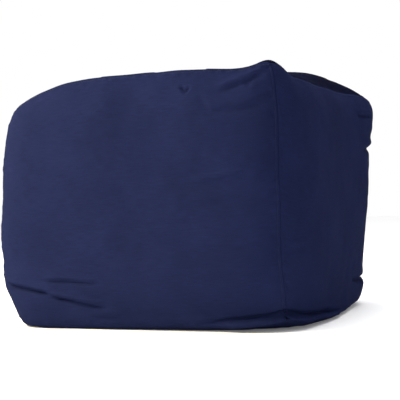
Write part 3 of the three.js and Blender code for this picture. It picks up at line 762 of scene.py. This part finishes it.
label_satin = woven("label_satin", (0.85, 0.85, 0.82), 3000, 1200, roughness=0.42, specular=0.5, bump=0.00004,
                    fine=0.02, broad=0.03, thread_gap_shade=0.06, sheen=0.0)
metal = worn_metal("metal", (0.46, 0.47, 0.49))
bead_foam = beaded("bead_foam", (0.93, 0.93, 0.91))
floor_paint, _, floor_shader = start_material("floor_paint", (0.97, 0.97, 0.985), 0.9, specular=0.05)
floor_shader.inputs["Emission Color"].default_value = (1, 1, 1, 1)
floor_shader.inputs["Emission Strength"].default_value = 0.10

# ---------------------------------------------------------------- camera, floor and light
AZIMUTH = math.radians(23.94)  # how far the camera stands round from the front, towards the right
DISTANCE = 2.2
CAMERA_HEIGHT = 0.2595
CAMERA_ASIDE = 0.0119
PITCH_UP, ROLL = math.radians(90 - 0.27), math.radians(-1.38)
camera = bpy.data.cameras.new("camera")
camera.lens = 88.87
camera.sensor_width = 36
camera_object = add_object("camera", camera)
toward_bag = Vector((-math.sin(AZIMUTH), math.cos(AZIMUTH), 0))
aside = Vector((math.cos(AZIMUTH), math.sin(AZIMUTH), 0))
camera_object.location = -toward_bag * DISTANCE + aside * CAMERA_ASIDE + Vector((0, 0, CAMERA_HEIGHT))
turned = Matrix.Rotation(AZIMUTH, 3, "Z") @ Matrix.Rotation(PITCH_UP, 3, "X") @ Matrix.Rotation(ROLL, 3, "Z")
camera_object.rotation_euler = turned.to_euler()
bpy.context.scene.camera = camera_object
bpy.context.scene.view_settings.view_transform = "Standard"

world = bpy.data.worlds.new("studio")
bpy.context.scene.world = world
world.use_nodes = True
backdrop = world.node_tree.nodes["Background"]
backdrop.inputs["Color"].default_value = (1, 1, 1, 1)
# the studio is a little darker off to the bag's right
way = node(world.node_tree, "ShaderNodeTexCoord")
parts = node(world.node_tree, "ShaderNodeSeparateXYZ")
link(world.node_tree, way.outputs["Generated"], parts.inputs["Vector"])
fade = mapped(world.node_tree, parts.outputs["X"], 1.0, 0.48, (-0.1, 0.9))
link(world.node_tree, fade, backdrop.inputs["Strength"])


def area_light(name, place, target, size, watts, color=(1, 1, 1)):
    light = bpy.data.lights.new(name, "AREA")
    light.shape = "DISK"
    light.size = size
    light.energy = watts
    light.color = color
    o = add_object(name, light)
    o.location = place
    o.rotation_euler = (Vector(target) - Vector(place)).to_track_quat("-Z", "Y").to_euler()


area_light("key", (-0.92, -1.02, 1.15), (-0.15, -0.25, 0.3), 0.8, 50, (1.0, 0.86, 0.55))
area_light("overhead", (0.0, 0.2, 3.0), (0.0, 0.2, 0.0), 3.0, 92)

floor_corners = [(-8, -8, 0), (8, -8, 0), (8, 8, 0), (-8, 8, 0)]
floor = mesh_object("floor", floor_corners, [(0, 1, 2, 3)], floor_paint, smooth=False)

# ---------------------------------------------------------------- the cover's panels
PITCH = {"front": 0.0035, "right": 0.0040, "top": 0.0066, "left": 0.0070, "back": 0.0064, "bottom": 0.014}

# heights of closer rows, where the creases low on the front and right lie
CREASE_ROWS = np.arange(0.012, 0.105, 0.0038)
panels = {}


def cover_grid(face, us, vs):
    """The finished outer surface of a stretch of one face."""
    u, v = np.meshgrid(us, vs)
    base = skin(face, u, v)
    normals = skin_normals(face, u, v)
    distances = edge_distances(base)
    relief = fold_relief(base) + 0.0016 * broad_noise(base)
    relief = relief + 0.0005 * dent_noise(base) + 0.0004 * drag_noise(base * DRAG)
    moved = settled_at(face, us, vs)
    if face == "back":
        quiet = np.maximum(
            boxed(base, LINER_ZIP_HALF + 0.01, LINER_ZIP_HEIGHT, 0.035, 0.03),
            boxed(base, ZIP_HALF + 0.012, ZIP_HEIGHT, 0.03, 0.03),
        )
        relief = relief * (1 - quiet)
        moved = moved * (1 - quiet)[..., None]
    relief += seam_relief(base, distances, BANDS[face])
    outer = base + normals * relief[..., None] + moved
    grounded = smooth_step(base[..., 2], 0.0, 0.007)[..., None]
    outer = base * (1 - grounded) + outer * grounded
    outer[..., 2] = np.maximum(outer[..., 2], 0.0)
    return outer, base, distances


def add_sheet(name, node_name, points, distances, material, slot, thickness):
    """A closed sheet of cloth on a grid; its UVs are its lengths across and up along the cloth."""
    shell, quads = shell_arrays(points, thickness)
    uvs = np.stack([distances["left"], distances["low"]], -1).reshape(-1, 2)
    o = mesh_object(name, shell, quads, material, np.concatenate([uvs, uvs]))
    join_piece(o, "bag", slot, node_name)


def add_panel(name, node_name, face, us, vs, shape=None):
    outer, base, distances = cover_grid(face, us, vs)
    if shape:
        outer = shape(outer, base)
    material, slot = (knit, "knit") if face == "top" else (canvas, "canvas")
    add_sheet(name, node_name, outer, distances, material, slot, CLOTH)
    panels[name] = (outer, distances)


for face in ("front", "right", "left", "top", "bottom"):
    closer = face != "bottom"  # closer lines beside the seams
    us = panel_steps(face, 0, PITCH[face], closer, closer)
    low_rows = [face_step(face, 1, z) for z in CREASE_ROWS] if face in ("front", "right") else ()
    vs = panel_steps(face, 1, PITCH[face], closer, closer, extra=low_rows)
    add_panel(f"cloth_{face}", f"cover_{face}_panel", face, us, vs)

zip_v = face_step("back", 1, ZIP_HEIGHT)
slot_columns = [
    face_step("back", 0, side * (SLOT_HALF + d), zip_v)
    for side in (-1, 1)
    for d in (-0.004, -0.0015, -0.0008, 0.0, 0.0008, 0.0015, 0.004)
]
back_us = panel_steps("back", 0, PITCH["back"], extra=sorted(slot_columns))
NEAR_ZIP = (0.001, 0.002, 0.004, 0.006, 0.008, 0.011, 0.014, 0.018, 0.022, 0.026, 0.031)  # rows beside the zip
near_zip = {
    sign: sorted(face_step("back", 1, ZIP_HEIGHT + sign * d) for d in NEAR_ZIP) for sign in (-1, 1)
}


def hem(points):
    """The folded edge beside the zip, twice as thick, with its line of stitching."""
    edge = np.abs(points[..., 2] - ZIP_HEIGHT) - SLOT_RISE
    near = boxed(points, SLOT_HALF + 0.002, ZIP_HEIGHT, 0.03, 0.004)
    rise = 0.0006 * (1 - smooth_step(edge, 0.0075, 0.0095)) - 0.0005 * bell(edge - TOPSTITCH, 0.0011)
    points[..., 1] += rise * near
    return points


def beside_zip(upper):
    def shape(outer, base):
        outer = flatten(outer, ZIP_FACE, ZIP_HALF + 0.010, ZIP_HEIGHT, 0.025, 0.030, base)
        return hem(open_slot(outer, SLOT_HALF, ZIP_HEIGHT, SLOT_RISE, upper))

    return shape


back_vs = panel_steps("back", 1, PITCH["back"], low=False, span=(zip_v, 1), extra=near_zip[1])
strip_vs = panel_steps("back", 1, PITCH["back"], high=False, span=(-1, zip_v), extra=near_zip[-1])
add_panel("cloth_back", "cover_back_panel", "back", back_us, back_vs, beside_zip(True))
add_panel("cloth_zip_strip", "cover_back_zip_strip", "back", back_us, strip_vs, beside_zip(False))

# ---------------------------------------------------------------- the liner and the beads inside it
LINER_GAP, LINER_CLOTH = 0.0065, 0.0008
FILL_GAP = LINER_GAP + LINER_CLOTH + 0.0014
INNER_CELLS = 60
SINK_CELLS = 80
FINER = 2  # folds are looked for on a grid this many times finer


def deepest(values, reach):
    """Each grid value's lowest neighbour within a few steps, softened."""
    rows, columns = values.shape
    for axis in (0, 1):
        held = np.pad(values, [(reach, reach) if a == axis else (0, 0) for a in (0, 1)], mode="edge")
        size = (rows, columns)[axis]
        values = np.minimum.reduce([np.take(held, range(k, k + size), axis) for k in range(2 * reach + 1)])
    return values


def find_sinks(face):
    """How far the cover's folds dip in, on an even grid: each place takes the deepest one near it."""
    steps = np.linspace(-1, 1, SINK_CELLS * FINER + 1)
    u, v = np.meshgrid(steps, steps)
    base = skin(face, u, v)
    moved = (settled_at(face, steps, steps) * skin_normals(face, u, v)).sum(-1)
    return deepest(np.minimum(fold_relief(base) + moved, 0), 3 * FINER)[::FINER, ::FINER]


sinks = {face: find_sinks(face) for face in FACES}


def inner_grid(face, us, vs, gap):
    """A smooth skin inside the cover that keeps clear of its folds."""
    u, v = np.meshgrid(us, vs)
    base = skin(face, u, v, ridge=0.5)
    normals = skin_normals(face, u, v)
    sink = spline_rows(vs, SINK_CELLS) @ sinks[face] @ spline_rows(us, SINK_CELLS).T
    points = base - normals * (gap - sink)[..., None]
    points[..., 2] = np.maximum(points[..., 2], gap - 0.0012)
    return points, base


def beside_liner_zip(points, base, cut):
    """Sets the back in round both zips: a shallow place for the liner's own and a deeper one behind the cover's."""
    points = flatten(points, LINER_ZIP_FACE - cut, LINER_ZIP_HALF + 0.012, LINER_ZIP_HEIGHT, 0.026, 0.026, base)
    return set_in(points, ZIP_FACE - 0.0062 - cut, ZIP_HALF + 0.020, ZIP_HEIGHT, 0.026, 0.034, base)


def add_lining(name, node_name, points, base):
    add_sheet(name, node_name, points, edge_distances(base), lining, "liner", LINER_CLOTH)


inner_steps = np.linspace(-1, 1, INNER_CELLS + 1)
for face in ("front", "right", "left", "top", "bottom"):
    points, base = inner_grid(face, inner_steps, inner_steps, LINER_GAP)
    add_lining(f"lining_{face}", f"liner_{face}_panel", points, base)

liner_v = face_step("back", 1, LINER_ZIP_HEIGHT)
liner_ends = [face_step("back", 0, s * (LINER_SLOT_HALF + d), liner_v) for s in (-1, 1) for d in (-0.0015, 0, 0.0015)]
liner_us = np.unique(np.concatenate([np.linspace(-1, 1, 73), liner_ends]))
for half, sign in (("upper", 1), ("lower", -1)):
    close = [face_step("back", 1, LINER_ZIP_HEIGHT + sign * d) for d in (0.003, 0.007, 0.012, 0.018, 0.024, 0.03)]
    levels = np.unique(np.concatenate([np.linspace(liner_v, sign, 33), close]))
    points, base = inner_grid("back", liner_us, levels, LINER_GAP)
    points = open_slot(beside_liner_zip(points, base, 0.0), LINER_SLOT_HALF, LINER_ZIP_HEIGHT, SLOT_RISE, sign > 0)
    add_lining(f"lining_back_{half}", f"liner_back_{half}_panel", points, base)


def closed_fill(cells=72):
    """The beads in bulk: one closed body just inside the liner, lumpy with beads."""
    steps = np.linspace(-1, 1, cells + 1)
    u, v = np.meshgrid(steps, steps)
    lumps = Ripple(0.011, 14)
    surfaces = {}
    for face in FACES:
        grid, base = inner_grid(face, steps, steps, FILL_GAP)
        if face == "back":
            grid = beside_liner_zip(grid, base, 0.0028)
            grid = set_in(grid, LINER_ZIP_FACE - 0.0055, LINER_ZIP_HALF + 0.012, LINER_ZIP_HEIGHT, 0.026, 0.026, base)
        surfaces[face] = grid - skin_normals(face, u, v) * (0.0004 + 0.0004 * lumps(grid))[..., None]
    return sewn(surfaces, cells)


_, bead_quads, bead_points = closed_fill()
bead_mass = mesh_object("bead_mass", bead_points, bead_quads, bead_foam)
join_piece(bead_mass, "bag", "beads", "bead_fill")


# ---------------------------------------------------------------- small sewn and moulded parts
def ring_points(places, sideways, ups, radii, sides):
    """A ring of points round each place on one or more lines."""
    turn = (np.arange(sides) * 2 * np.pi / sides)[:, None]
    ring = np.cos(turn) * sideways[..., None, :] + np.sin(turn) * ups[..., None, :]
    return places[..., None, :] + ring * radii[..., None, None]


def tube_faces(rings, sides):
    """The faces of a closed tube of rings."""
    quads = [
        (r * sides + k, r * sides + (k + 1) % sides, (r + 1) * sides + (k + 1) % sides, (r + 1) * sides + k)
        for r in range(rings - 1)
        for k in range(sides)
    ]
    return quads + [tuple(reversed(range(sides))), tuple((rings - 1) * sides + k for k in range(sides))]


def numbered_from(start, faces):
    return [tuple(a + start for a in f) for f in faces]


def capsules(centres, ways, outs, length, radius, sides=5):
    """Short rounded bars, one at each centre: along `ways`, with `outs` as the way up."""
    along = np.array([-0.5, -0.36, 0.36, 0.5]) * length
    radii = np.array([0.35, 1.0, 1.0, 0.35]) * radius
    ways = unit(ways)
    sideways = unit(np.cross(ways, outs))
    ups = np.cross(sideways, ways)
    places = centres[:, None] + ways[:, None] * along[:, None]
    points = ring_points(places, sideways[:, None], ups[:, None], radii, sides)
    tube, faces = tube_faces(len(along), sides), []
    for i in range(len(centres)):
        faces += numbered_from(i * len(along) * sides, tube)
    return points.reshape(-1, 3), faces


def grid_line(name, side, distance):
    """Places and outward ways along a finished panel, at one distance from one of its seams."""
    outer, distances = panels[name]
    grids = [outer, distances[side], grid_normals(outer)]
    if side in ("low", "high"):
        grids = [np.swapaxes(grid, 0, 1) for grid in grids]
    if side in ("right", "high"):
        grids = [grid[:, ::-1] for grid in grids]
    rows = [(read_line(distance, d, line), read_line(distance, d, ups)) for line, d, ups in zip(*grids)]
    places, outs = (np.array(values) for values in zip(*rows))
    return places, unit(outs)


def stitches(name, lines, pitch, length, radius):
    """Rows of topstitches that lie in the cloth, on lines of places with outward ways."""
    points, faces, count = [], [], 0
    for places, outs in lines:
        run = runs(places)
        at = np.arange(0.006, run[-1] - 0.006, pitch)
        ahead, behind = (read_line(at + half, run, places) for half in (length / 2, -length / 2))
        out = unit(read_line(at, run, outs))
        middle = read_line(at, run, places) + out * radius * 0.45
        more_points, more_faces = capsules(middle, ahead - behind, out, length, radius)
        faces += numbered_from(count, more_faces)
        points.append(more_points)
        count += len(more_points)
    o = mesh_object(name, np.concatenate(points), faces, thread_yarn)
    join_piece(o, "bag", "canvas")


seam_lines = []
for name in ("cloth_front", "cloth_right", "cloth_left", "cloth_back"):
    for side in BANDS[name.removeprefix("cloth_")]:
        if side != "low":
            seam_lines.append(grid_line(name, side, TOPSTITCH))
seam_lines += [grid_line("cloth_zip_strip", side, TOPSTITCH) for side in ("left", "right")]
stitches("topstitching", seam_lines, 0.0044, 0.0034, 0.00036)


def level_row(z, half, face_y, lift=0.0):
    xs = np.linspace(-half, half, 160)
    places = np.stack([xs, np.full_like(xs, face_y + lift), np.full_like(xs, z)], -1)
    return places, np.tile([0.0, 1.0, 0.0], (len(xs), 1))


zip_rows = [level_row(ZIP_HEIGHT + s * (SLOT_RISE + TOPSTITCH), SLOT_HALF + 0.003, ZIP_FACE, 0.0001) for s in (-1, 1)]
stitches("zip_topstitching", zip_rows, 0.0034, 0.0026, 0.00034)
TACK_LENGTH, TACK_RADIUS, TACK_PITCH = 0.017, 0.00055, 0.0009
tack_centres = [
    (side * (SLOT_HALF + 0.0035 + TACK_PITCH * k), ZIP_FACE + 0.0002, ZIP_HEIGHT) for side in (-1, 1) for k in range(4)
]
upright, outward = (np.tile(way, (len(tack_centres), 1)) for way in ([0.0, 0.0, 1.0], [0.0, 1.0, 0.0]))
tack_points, tack_faces = capsules(np.array(tack_centres), upright, outward, TACK_LENGTH, TACK_RADIUS)
bar_tacks = mesh_object("bar_tacks", tack_points, tack_faces, thread_yarn)
join_piece(bar_tacks, "bag", "canvas")


def coil_teeth(name, node_name, pitch, radius, sides, upper):
    """One side of the zip's chain: a row of bent nylon loops round a cord."""
    low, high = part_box(node_name)
    inner_z, outer_z = (low.z, high.z) if upper else (high.z, low.z)
    step = 1 if upper else -1
    front, rear, middle = high.y - radius, low.y + radius, (low.y + high.y) / 2
    tip, root = inner_z + step * radius, outer_z - step * radius
    # one loop's path: (x as a share of the pitch, y, z)
    path = np.array([
        (-0.30, rear, root), (-0.28, rear, tip + step * 0.0005), (-0.12, rear + 0.0003, tip + step * 0.0001),
        (0.0, middle, tip), (0.12, front - 0.0003, tip + step * 0.0001), (0.28, front, tip + step * 0.0005),
        (0.42, front, root),
    ])
    path[:, 0] *= pitch
    along = unit(np.gradient(path, axis=0))
    sideways = unit(np.cross(along, [1.0, 0.2, 0.0]))
    loop = ring_points(path, sideways, np.cross(sideways, along), np.full(len(path), radius), sides).reshape(-1, 3)
    count = int((high.x - low.x - 2 * radius - 0.8 * pitch) / pitch)
    centre = (low.x + high.x) / 2
    start = centre - (count - 1) * pitch / 2
    tube, points, faces = tube_faces(len(path), sides), [], []
    for i in range(count):
        faces += numbered_from(i * len(loop), tube)
        points.append(loop + [start + i * pitch, 0, 0])
    cord, cord_faces = capsules(
        np.array([[centre, middle, (tip + root) / 2]]), np.array([[1.0, 0, 0]]), np.array([[0, 0, 1.0]]),
        high.x - low.x - 0.001, (front - rear) / 2 - radius * 1.1, 8,
    )
    faces += numbered_from(count * len(loop), cord_faces)
    points = np.concatenate(points + [cord])
    points[:, 1] = np.clip(points[:, 1], low.y, high.y)
    points[:, 2] = np.clip(points[:, 2], low.z, high.z)
    o = mesh_object(name, points, faces, coil_nylon)
    join_piece(o, "bag", "zip_coil", node_name)


coil_teeth("chain_upper", "zip_coil_upper", 0.0016, 0.00042, 5, True)
coil_teeth("chain_lower", "zip_coil_lower", 0.0016, 0.00042, 5, False)
coil_teeth("liner_chain_upper", "liner_zip_coil_upper", 0.0024, 0.00046, 4, True)
coil_teeth("liner_chain_lower", "liner_zip_coil_lower", 0.0024, 0.00046, 4, False)


def rounded_copy(name, node_name, body, width):
    """The frame's own metal part with its sharp edges eased."""
    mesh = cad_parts[node_name].data.copy()
    mesh.name = name
    mesh.materials.clear()
    mesh.materials.append(metal)
    work = bmesh.new()
    work.from_mesh(mesh)
    bmesh.ops.remove_doubles(work, verts=work.verts, dist=1e-6)
    bmesh.ops.dissolve_limit(work, angle_limit=math.radians(1), verts=work.verts, edges=work.edges)
    sharp = [e for e in work.edges if len(e.link_faces) == 2 and e.calc_face_angle(0) > math.radians(35)]
    bmesh.ops.bevel(work, geom=sharp, offset=width, segments=2, profile=0.5, affect="EDGES", clamp_overlap=True)
    bmesh.ops.triangulate(work, faces=[f for f in work.faces if len(f.verts) > 4])
    work.to_mesh(mesh)
    work.free()
    for polygon in mesh.polygons:
        polygon.use_smooth = False
    join_piece(add_object(name, mesh), body, "metal", node_name)


for node_name, body, width in (
    ("zip_slider", "zip_slider", 0.00022),
    ("zip_pull_tab", "zip_pull_tab", 0.00025),
    ("liner_zip_slider", "liner_zip_slider", 0.00020),
    ("zip_top_stop_upper", "bag", 0.0002),
    ("zip_top_stop_lower", "bag", 0.0002),
    ("zip_bottom_stop", "bag", 0.0002),
    ("liner_zip_top_stop_upper", "bag", 0.0002),
    ("liner_zip_top_stop_lower", "bag", 0.0002),
    ("liner_zip_bottom_stop", "bag", 0.0002),
):
    rounded_copy(f"{node_name}_eased", node_name, body, width)
for node_name in ("zip_tape_upper", "zip_tape_lower", "liner_zip_tape_upper", "liner_zip_tape_lower"):
    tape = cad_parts[node_name]
    tape.data.materials.clear()
    tape.data.materials.append(tape_cloth)

# ---------------------------------------------------------------- the blank care label
label_low, label_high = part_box("care_label")
LABEL_SIZE = (0.036, 0.034)
lu, lv = np.meshgrid(np.linspace(0, 1, 19), np.linspace(0, 1, 19))
label_curl = 0.0022 * (1 - lv) ** 2 * (0.4 + 0.6 * lu) + 0.0006 * np.sin(lu * 5.0) * (1 - lv)
label_points = np.stack(
    [
        label_high.x + (label_low.x - label_high.x) * lu,
        label_low.y + 0.0008 + label_curl,
        label_low.z + (label_high.z - label_low.z) * lv,
    ],
    -1,
)
label_shell, label_quads = shell_arrays(label_points, 0.0003)
label_uvs = np.stack([lu * LABEL_SIZE[0], lv * LABEL_SIZE[1]], -1).reshape(-1, 2)
label = mesh_object("satin_label", label_shell, label_quads, label_satin, np.concatenate([label_uvs, label_uvs]))
join_piece(label, "bag", "label", "care_label")
